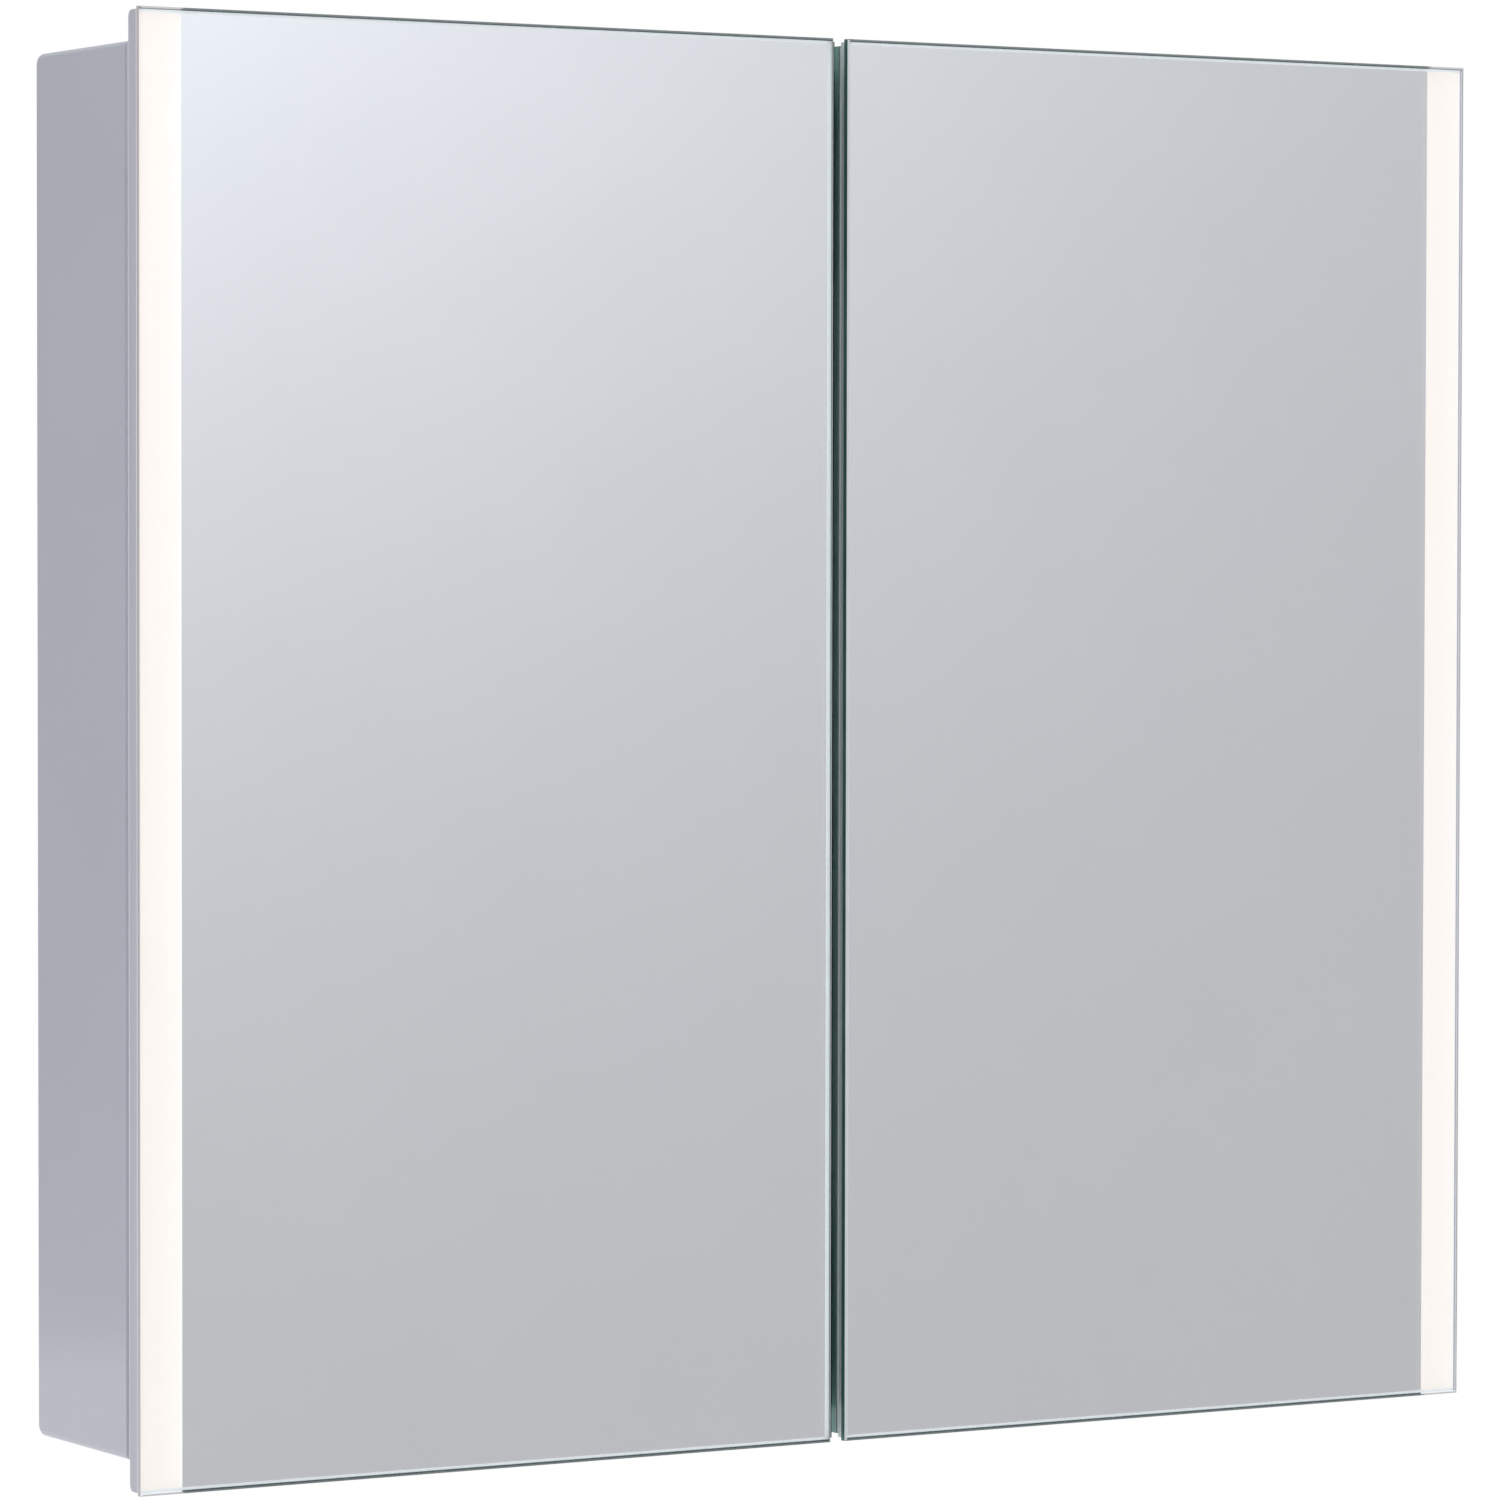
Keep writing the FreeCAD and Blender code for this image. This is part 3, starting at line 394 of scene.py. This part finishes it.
def clear_glass(name, edge_tones, face_axis="Y", front=False):
    """Float glass: clear through its faces, deep green and softly lit in its ground edges.

    face_axis is the way its faces look. The front pane has slopes, and beside the strip its edges
    carry painted light.
    """
    material, tree, output = new_material(name)
    edge = principled(tree, Roughness=0.22)
    grind = noise(tree, object_place(tree, (1, 1, 0.15)), 260.0, 3.0)
    tone = mottle(tree, grind, *edge_tones)
    # On the front pane, painted light: near the strip the edges get a lighter tone and a faint
    # emission.
    if front:
        out = calc(tree, "ABSOLUTE", coordinate_parts(tree, "Object")["X"])
        glow = step(tree, out, GLOW_START, GLOW_END)
        tone = mix_colour(tree, glow, tone, LIT_EDGE)
        light = mix_colour(tree, glow, rgb(0.0, 0.0, 0.0), LIT_EDGE_LIGHT)
        link(tree, light, edge.inputs["Emission Color"])
        edge.inputs["Emission Strength"].default_value = 1.0
    link(tree, tone, edge.inputs["Base Color"])
    bump(tree, edge, grind, 0.1, 0.00002)
    facing = calc(tree, "ABSOLUTE", coordinate_parts(tree, "Normal")[face_axis])
    rim = calc(tree, "LESS_THAN", facing, SLOPE)
    mixed = mix_shaders(tree, rim, pane_shader(tree), edge.outputs[0])
    if front:
        mixed = front_slopes(tree, mixed, grind, glow)
    link(tree, mixed, output.inputs["Surface"])
    volume = tree.nodes.new("ShaderNodeVolumeAbsorption")
    volume.inputs["Color"].default_value = GLASS_TINT
    volume.inputs["Density"].default_value = GLASS_DENSITY
    link(tree, volume.outputs[0], output.inputs["Volume"])
    return material


def silver(name):
    """Silvering seen through the pane, with a very faint cloud in the coat."""
    material, tree, output = new_material(name)
    shader = principled(tree, Metallic=1.0, Roughness=0.0)
    cloud = noise(tree, object_place(tree), 9.0, 4.0, 0.6)
    link(tree, mottle(tree, cloud, *SILVER_TONES), shader.inputs["Base Color"])
    link(tree, shader.outputs[0], output.inputs["Surface"])
    return material


def solid_mirror(name):
    """A thin mirror in one solid: silver on its two faces, green ground edges round it."""
    material, tree, output = new_material(name)
    mirror = principled(tree, Metallic=1.0, Roughness=0.0)
    cloud = noise(tree, object_place(tree), 8.0, 4.0)
    tone = mottle(tree, cloud, rgb(0.86, 0.89, 0.885), rgb(0.88, 0.91, 0.905))
    link(tree, tone, mirror.inputs["Base Color"])
    # Painted reflection: past the deepest reflection a dim emission stands in for the mirror's
    # image.
    dim = tree.nodes.new("ShaderNodeEmission")
    dim.inputs["Color"].default_value = PAINTED_DEEP_TONE
    path = tree.nodes.new("ShaderNodeLightPath")
    deep = calc(tree, "GREATER_THAN", path.outputs["Glossy Depth"], DEEPEST_MIRROR)
    faces = mix_shaders(tree, deep, mirror.outputs[0], dim.outputs[0])

    edge = principled(tree, Roughness=0.3)
    grind = noise(tree, object_place(tree, (1, 1, 6)), 160.0, 3.0)
    tone = mottle(tree, grind, rgb(0.03, 0.09, 0.075), rgb(0.06, 0.15, 0.125))
    link(tree, tone, edge.inputs["Base Color"])
    facing = calc(tree, "ABSOLUTE", coordinate_parts(tree, "Normal")["Y"])
    flat = calc(tree, "GREATER_THAN", facing, FLAT_FACE)
    mixed = mix_shaders(tree, flat, edge.outputs[0], faces)
    link(tree, mixed, output.inputs["Surface"])
    return material


# The lit band's light across its width, from low to high X.
LIGHT_PROFILE = (
    (0.0, rgb(0.97, 0.82, 0.78)),
    (0.35, rgb(0.965, 0.815, 0.77)),
    (0.62, rgb(0.985, 0.84, 0.80)),
    (0.85, rgb(1.0, 0.87, 0.84)),
    (1.0, rgb(1.0, 0.93, 0.92)),
)
STRIP_STRENGTH = 0.69


def light_strip(name, guide):
    """The lit band of one light guide: warm white, evened out by the opal plate."""
    material, tree, output = new_material(name)
    shader = principled(
        tree,
        Roughness=0.4,
        Base_Color=rgb(0.55, 0.54, 0.52),
        Emission_Strength=STRIP_STRENGTH,
    )
    low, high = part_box(guide)
    place = coordinate_parts(tree, "Object")["X"]
    across = step(tree, place, low[0], high[0], smooth=False)
    dots = noise(tree, object_place(tree, (1, 1, 0.25)), 60.0, 2.0)
    cloud = mottle(tree, dots, rgb(0.99, 0.985, 0.98), rgb(1.0, 1.0, 1.0))
    band = mix_colour(tree, 1.0, ramp(tree, across, LIGHT_PROFILE), cloud, "MULTIPLY")
    link(tree, band, shader.inputs["Emission Color"])
    link(tree, shader.outputs[0], output.inputs["Surface"])
    return material


# ------------------------------------------------------------ dressing the CAD nodes

PANEL_GREY = rgb(0.56, 0.568, 0.625)
FRAME_GREY = rgb(0.66, 0.67, 0.72)
# The inner stiles' grey is lighter than the outer frame's: painted light that lifts the band seen
# in the shaded gap between the doors.
INNER_STILE_PAINTED_LIGHT_GREY = rgb(0.84, 0.93, 0.92)
# The hinge socket's near-white grey and its faint glow are painted light that lifts the shaded
# seam beside the door.
HINGE_PAINTED_LIGHT_GREY = rgb(0.95, 0.95, 0.97)
SEAM_PAINTED_LIGHT = rgb(0.95, 0.95, 1.0)
SEAM_PAINTED_GLOW = 0.06
ZINC = rgb(0.72, 0.72, 0.74)
SHEET_ZINC = rgb(0.62, 0.64, 0.66)
MAGNET_GREY = rgb(0.34, 0.34, 0.36)
UPRIGHT = (1, 1, 0.02)


def dress(material, *names):
    """Give a material to CAD nodes. A name that starts with * stands for one node on each side."""
    for name in names:
        sided = [side + "_" + name[1:] for side in SIDES] if name[0] == "*" else [name]
        for node in sided:
            slots = NODES[node].data.materials
            slots.clear()
            slots.append(material)


dress(
    lacquer("panel_lacquer", PANEL_GREY),
    "top_panel",
    "bottom_panel",
    "back_panel",
    "*side_panel",
)
dress(
    lacquer("cover_paint", PANEL_GREY, rough=0.42, coat=0.3, coat_rough=0.2),
    "service_cover",
)

dress(clear_glass("front_float_glass", FRONT_EDGE, front=True), "*front_glass")
dress(clear_glass("rear_float_glass", REAR_EDGE), "*rear_glass")
dress(
    clear_glass("shelf_float_glass", SHELF_EDGE, face_axis="Z"),
    "upper_shelf",
    "lower_shelf",
)
dress(silver("silver_coat"), "*front_silvering", "*rear_silvering")
dress(solid_mirror("back_mirror_silver"), "back_mirror")
for side in SIDES:
    guide = side + "_light_guide"
    dress(light_strip("opal_light_" + side, guide), guide)

# Painted light: the inner stiles' lighter coat lifts the shaded gap between the doors.
dress(
    metal("inner_edge_aluminium_painted_light", INNER_STILE_PAINTED_LIGHT_GREY, 0.38, streak=UPRIGHT, metallic=0.2),
    "*inner_stile",
)
dress(
    metal("coated_aluminium", FRAME_GREY, 0.38, streak=UPRIGHT, metallic=0.25, depth=0.00002),
    "*outer_stile",
    "*door_top_rail",
    "*door_bottom_rail",
)
# Painted light: the hinge sockets' pale coat and faint emission lift the shaded seam beside the
# door.
dress(
    metal(
        "seam_lifting_painted_light_aluminium",
        HINGE_PAINTED_LIGHT_GREY,
        0.3,
        streak=UPRIGHT,
        metallic=0.1,
        glow=SEAM_PAINTED_GLOW,
    ),
    "*hinge_socket",
)
dress(board_core("fibreboard"), "*door_core")
dress(
    metal("bright_zinc", ZINC, 0.28, scale=600.0),
    "cam_fittings",
    "shelf_pins",
    "cover_screws",
    "rail_screws",
    "*hinge_screws",
    "*catch_strikes",
)
dress(galvanised("galvanised_sheet", SHEET_ZINC), "hanging_rail", "lower_fixing_rail")
dress(metal("magnet_block", MAGNET_GREY, 0.4, scale=500.0, metallic=0.8), "catch_magnets")
dress(moulded("white_nylon", srgb(222, 222, 218)), "cover_brackets", "*hinge_plugs")
dress(
    moulded("clear_bumper", rgb(0.8, 0.82, 0.82), rough=0.25, clear=0.6),
    "*door_bumpers",
)
dress(
    moulded("black_rubber", rgb(0.02, 0.02, 0.021), rough=0.6),
    "mains_grommet",
    "cover_lead_grommets",
    "*lead_grommet",
)
dress(moulded("white_casing", srgb(225, 226, 228)), "led_driver")
dress(moulded("terminal_block_plastic", srgb(200, 202, 204)), "terminal_block")
dress(moulded("sensor_black", rgb(0.015, 0.015, 0.018), rough=0.12), "sensor_switch")
dress(moulded("white_circuit_board", srgb(232, 233, 228), rough=0.3), "*led_board")

# -------------------------------------------------------------- pieces added here

# White varnish on the clear border of a front pane's back, and how far inside the pane's
# edge it stops at the sides and at the top and bottom.
VARNISH_THICKNESS = 0.0003
VARNISH_SIDE = 0.0001
VARNISH_TOP = 0.0014
# The varnish's faint emission is painted light, standing in for the strip's light inside the
# glass.
VARNISH_PAINTED_LIGHT = rgb(1.0, 1.0, 1.03)
VARNISH_PAINTED_GLOW = 0.36
HAIR = 0.00002

# The lip between the doors: how far past the middle it reaches, and how thick it is.
LIP_REACH = 0.0009
LIP_ROOT = 0.0016
LIP_FIN = 0.0005
LIP_SET_BACK = 0.0006


def add_piece(name, mesh_maker, material, body):
    """A new piece from bmesh code, riding on a body."""
    mesh = bpy.data.meshes.new(name)
    shape = bmesh.new()
    mesh_maker(shape)
    bmesh.ops.recalc_face_normals(shape, faces=shape.faces)
    shape.to_mesh(mesh)
    shape.free()
    piece = bpy.data.objects.new(name, mesh)
    bpy.context.collection.objects.link(piece)
    mesh.materials.append(material)
    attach(piece, body)


def frame_ring(shape, outer, inner, front, back):
    """A flat rectangular ring between two rectangles (x0, x1, z0, z1) and two depths."""

    def corners(rect, y):
        x0, x1, z0, z1 = rect
        places = ((x0, y, z0), (x1, y, z0), (x1, y, z1), (x0, y, z1))
        return [shape.verts.new(place) for place in places]

    loops = [
        corners(outer, front),
        corners(inner, front),
        corners(inner, back),
        corners(outer, back),
    ]
    for first, second in zip(loops, loops[1:] + loops[:1]):
        for i in range(4):
            j = (i + 1) % 4
            shape.faces.new((first[i], first[j], second[j], second[i]))


def prism(shape, outline, low, high, place):
    """An outline drawn at two levels and joined into a solid; place(u, v, level) is a point."""
    ends = [[shape.verts.new(place(u, v, level)) for u, v in outline] for level in (low, high)]
    for i in range(len(outline)):
        j = (i + 1) % len(outline)
        shape.faces.new((ends[0][i], ends[0][j], ends[1][j], ends[1][i]))
    shape.faces.new(ends[0])
    shape.faces.new(ends[1])


def side_span(side, near, far):
    """Two distances out from the cabinet's middle as a low and a high X on that side."""
    return tuple(sorted((SIGN[side] * near, SIGN[side] * far)))


def reach(node):
    """A node's nearest and farthest distance from the cabinet's middle, across."""
    low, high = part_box(node)
    return sorted((abs(low[0]), abs(high[0])))


def front_border(side, varnish, paint):
    """Varnish, with a faint painted glow, round the silvering and light guide of a front pane, and
    dark paint along its edge as painted shade.
    """
    pane_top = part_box(side + "_front_glass")[1][2]
    coat_low, coat_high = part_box(side + "_front_silvering")
    pane_near, pane_far = reach(side + "_front_glass")
    coat_near, coat_far = reach(side + "_front_silvering")
    guide_far = reach(side + "_light_guide")[1]
    front = coat_low[1]
    back = front + VARNISH_THICKNESS

    top = pane_top - VARNISH_TOP
    hole_top = min(coat_high[2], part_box(side + "_light_guide")[1][2]) + HAIR
    outer = (*side_span(side, pane_near + VARNISH_SIDE, pane_far - HAIR), -top, top)
    inner = (*side_span(side, coat_near - HAIR, guide_far + HAIR), -hole_top, hole_top)
    add_piece(
        side + "_edge_varnish",
        lambda shape: frame_ring(shape, outer, inner, front, back),
        varnish,
        side + "_door",
    )

    # Painted shade: the dark paint makes a dark line along the pane's top, bottom and inner edge.
    near = pane_near + HAIR
    inside = pane_near + VARNISH_SIDE - HAIR
    arm = pane_top - HAIR
    tip = top + HAIR
    outline = (
        (coat_far, arm),
        (near, arm),
        (near, -arm),
        (coat_far, -arm),
        (coat_far, -tip),
        (inside, -tip),
        (inside, tip),
        (coat_far, tip),
    )
    add_piece(
        side + "_edge_paint",
        lambda shape: prism(
            shape, outline, front, back, lambda u, v, level: (SIGN[side] * u, level, v)
        ),
        paint,
        side + "_door",
    )


def rear_border(side, paint):
    """Paint round the silvering of a rear pane."""
    pane_low, pane_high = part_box(side + "_rear_glass")
    coat_low, coat_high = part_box(side + "_rear_silvering")
    pane_near, pane_far = reach(side + "_rear_glass")
    coat_near, coat_far = reach(side + "_rear_silvering")
    back = coat_high[1]
    outer = (
        *side_span(side, pane_near + HAIR, pane_far - HAIR),
        pane_low[2],
        pane_high[2],
    )
    inner = (
        *side_span(side, coat_near - HAIR, coat_far + HAIR),
        coat_low[2] - HAIR,
        coat_high[2] + HAIR,
    )
    add_piece(
        side + "_rear_edge_paint",
        lambda shape: frame_ring(shape, outer, inner, back - VARNISH_THICKNESS, back),
        paint,
        side + "_door",
    )


def meeting_lip():
    """A soft lip on the left door's inner edge that reaches across most of the gap."""
    low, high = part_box("left_inner_stile")
    root = high[0] + HAIR
    back = high[1] - LIP_SET_BACK
    face = back - LIP_FIN
    outline = (
        (root, back),
        (root, back - LIP_ROOT),
        (root + 0.0008, back - LIP_ROOT),
        (root + 0.0016, face),
        (LIP_REACH - 0.0008, face),
        (LIP_REACH - 0.0005, face - 0.0002),
        (LIP_REACH, face - 0.0001),
        (LIP_REACH + 0.0002, back - LIP_FIN / 2),
        (LIP_REACH, back),
    )
    add_piece(
        "left_meeting_lip",
        lambda shape: prism(shape, outline, low[2], high[2], lambda u, v, level: (u, v, level)),
        smoky_lip(),
        "left_door",
    )


# The varnish's faint glow is painted light.
edge_varnish = brushed_coat(
    "edge_sealing_varnish_painted_glow",
    rgb(0.78, 0.79, 0.82),
    rgb(0.86, 0.87, 0.90),
    rough=0.5,
    scale=180.0,
    streak=(1, 1, 0.3),
    glow=VARNISH_PAINTED_GLOW,
)
# Dark back paint round a rear pane's silvering, also used along a front pane's edge as painted
# shade.
back_paint_and_shade = brushed_coat(
    "mirror_back_paint",
    rgb(0.13, 0.17, 0.165),
    rgb(0.18, 0.225, 0.215),
    rough=0.6,
    scale=220.0,
)
for side in SIDES:
    front_border(side, edge_varnish, back_paint_and_shade)
    rear_border(side, back_paint_and_shade)
meeting_lip()

# ------------------------------------------------------------- world and floor

# A soft window of light in front of the mirrors: its direction and its widths as angles.
WINDOW_AZIMUTH = math.radians(20)
WINDOW_HEIGHT = math.radians(12)
WINDOW_WIDTH = math.sin(math.radians(12.6))
WINDOW_TALL = math.sin(math.radians(11.1))
WINDOW_FALL = -1.03
WINDOW_LIGHT = rgb(0.81, 0.86, 0.93)
BLACK = rgb(0.0, 0.0, 0.0)
WHITE = rgb(1.0, 1.0, 1.0)

# Light of the room by height, 0 straight down and 1 straight up: in front and behind the cabinet.
ROOM_LIGHT = (
    (0.0, rgb(0.95, 0.95, 0.96)),
    (0.406, rgb(0.95, 0.95, 0.96)),
    (0.425, rgb(0.515, 0.517, 0.542)),
    (0.55, rgb(0.495, 0.497, 0.522)),
    (0.64, rgb(0.62, 0.63, 0.66)),
    (1.0, rgb(1.25, 1.27, 1.32)),
)
WALL_LIGHT = (
    (0.0, rgb(0.62, 0.62, 0.64)),
    (0.40, rgb(0.85, 0.86, 0.89)),
    (0.4375, rgb(0.95, 0.95, 0.98)),
    (0.4425, rgb(0.26, 0.265, 0.28)),
    (0.62, rgb(0.28, 0.285, 0.30)),
    (0.80, rgb(0.80, 0.82, 0.86)),
    (1.0, rgb(1.25, 1.27, 1.32)),
)
WALL_START = 0.05
WALL_FULL = 0.45

FLOOR_LEVEL = -1.1
FLOOR_RADIUS = 3.9
FADE_START = 0.8
FADE_END = FLOOR_RADIUS * 0.96


def along(tree, direction, axis):
    """How far a direction points along an axis."""
    node = tree.nodes.new("ShaderNodeVectorMath")
    node.operation = "DOT_PRODUCT"
    link(tree, direction, node.inputs[0])
    node.inputs[1].default_value = axis
    return node.outputs["Value"]


def window_light(tree, direction):
    """The window's light in a direction: a smooth round patch that fades out."""
    centre = Vector(
        (
            math.sin(WINDOW_AZIMUTH) * math.cos(WINDOW_HEIGHT),
            -math.cos(WINDOW_AZIMUTH) * math.cos(WINDOW_HEIGHT),
            math.sin(WINDOW_HEIGHT),
        )
    )
    across = Vector((math.cos(WINDOW_AZIMUTH), math.sin(WINDOW_AZIMUTH), 0))
    upward = across.cross(centre) * -1
    sideways = calc(tree, "DIVIDE", along(tree, direction, across), WINDOW_WIDTH)
    height = calc(tree, "DIVIDE", along(tree, direction, upward), WINDOW_TALL)
    distance = calc(
        tree,
        "ADD",
        calc(tree, "MULTIPLY", sideways, sideways),
        calc(tree, "MULTIPLY", height, height),
    )
    glow = calc(tree, "EXPONENT", calc(tree, "MULTIPLY", distance, WINDOW_FALL))
    ahead = calc(tree, "GREATER_THAN", along(tree, direction, centre), 0.0)
    return mix_colour(tree, calc(tree, "MULTIPLY", glow, ahead), BLACK, WINDOW_LIGHT)


def background(tree, value):
    node = tree.nodes.new("ShaderNodeBackground")
    feed(tree, value, node.inputs["Color"])
    return node.outputs[0]


def build_world():
    """A white studio. What the mirrors show is a soft window of light on a grey room."""
    world = bpy.data.worlds.new("studio")
    bpy.context.scene.world = world
    world.use_nodes = True
    tree = world.node_tree
    tree.nodes.clear()
    output = tree.nodes.new("ShaderNodeOutputWorld")
    direction = tree.nodes.new("ShaderNodeTexCoord").outputs["Generated"]

    height = calc(tree, "MULTIPLY_ADD", along(tree, direction, (0, 0, 1)), 0.5, 0.5)
    room = ramp(tree, height, ROOM_LIGHT)
    room = mix_colour(tree, 1.0, room, window_light(tree, direction), "ADD")
    wall = ramp(tree, height, WALL_LIGHT)
    behind = step(tree, along(tree, direction, (0, 1, 0)), WALL_START, WALL_FULL)
    around = background(tree, mix_colour(tree, behind, room, wall))

    path = tree.nodes.new("ShaderNodeLightPath")
    seen = background(tree, WHITE)
    mixed = mix_shaders(tree, path.outputs["Is Camera Ray"], around, seen)
    link(tree, mixed, output.inputs["Surface"])


def floor_material():
    """Pale speckled floor that fades to plain white towards its rim."""
    material, tree, output = new_material("pale_floor")
    paint = principled(tree, Roughness=0.55)
    speckle = noise(tree, object_place(tree), 30.0, 4.0)
    tone = mottle(tree, speckle, rgb(0.86, 0.86, 0.87), rgb(0.9, 0.9, 0.91))
    link(tree, tone, paint.inputs["Base Color"])
    white = tree.nodes.new("ShaderNodeEmission")
    white.inputs["Color"].default_value = WHITE
    place = coordinate_parts(tree, "Object")
    flat = tree.nodes.new("ShaderNodeCombineXYZ")
    link(tree, place["X"], flat.inputs["X"])
    link(tree, place["Y"], flat.inputs["Y"])
    length = tree.nodes.new("ShaderNodeVectorMath")
    length.operation = "LENGTH"
    link(tree, flat.outputs[0], length.inputs[0])
    fade = step(tree, length.outputs["Value"], FADE_START, FADE_END)
    mixed = mix_shaders(tree, fade, paint.outputs[0], white.outputs[0])
    link(tree, mixed, output.inputs["Surface"])
    return material


def build_floor():
    mesh = bpy.data.meshes.new("floor")
    plan = bmesh.new()
    bmesh.ops.create_circle(plan, cap_ends=True, segments=160, radius=FLOOR_RADIUS)
    bmesh.ops.translate(plan, verts=plan.verts, vec=(0, 0, FLOOR_LEVEL))
    plan.to_mesh(mesh)
    plan.free()
    mesh.materials.append(floor_material())
    floor = bpy.data.objects.new("floor", mesh)
    bpy.context.collection.objects.link(floor)


build_world()
build_floor()

# ---------------------------------------------------------------------- camera

CAMERA_PLACE = Vector((-1.772, -3.046, 0.104))
CAMERA_AZIMUTH = math.radians(30.45)
CAMERA_PITCH = math.radians(-1.81)
CAMERA_ROLL = math.radians(0.1)
CAMERA_LENS = 157.8
SENSOR_WIDTH = 36.0
CLIP_START = 0.01
CLIP_END = 60.0


def build_camera():
    data = bpy.data.cameras.new("camera")
    data.lens = CAMERA_LENS
    data.sensor_width = SENSOR_WIDTH
    data.sensor_fit = "HORIZONTAL"
    data.clip_start = CLIP_START
    data.clip_end = CLIP_END
    camera = bpy.data.objects.new("camera", data)
    bpy.context.collection.objects.link(camera)
    look = Vector(
        (
            math.sin(CAMERA_AZIMUTH) * math.cos(CAMERA_PITCH),
            math.cos(CAMERA_AZIMUTH) * math.cos(CAMERA_PITCH),
            math.sin(CAMERA_PITCH),
        )
    )
    turn = look.to_track_quat("-Z", "Y").to_matrix().to_4x4()
    roll = Matrix.Rotation(CAMERA_ROLL, 4, "Z")
    camera.matrix_world = Matrix.Translation(CAMERA_PLACE) @ turn @ roll
    bpy.context.scene.camera = camera


build_camera()

bpy.context.scene.view_settings.view_transform = "Standard"
bpy.context.scene.view_settings.look = "None"
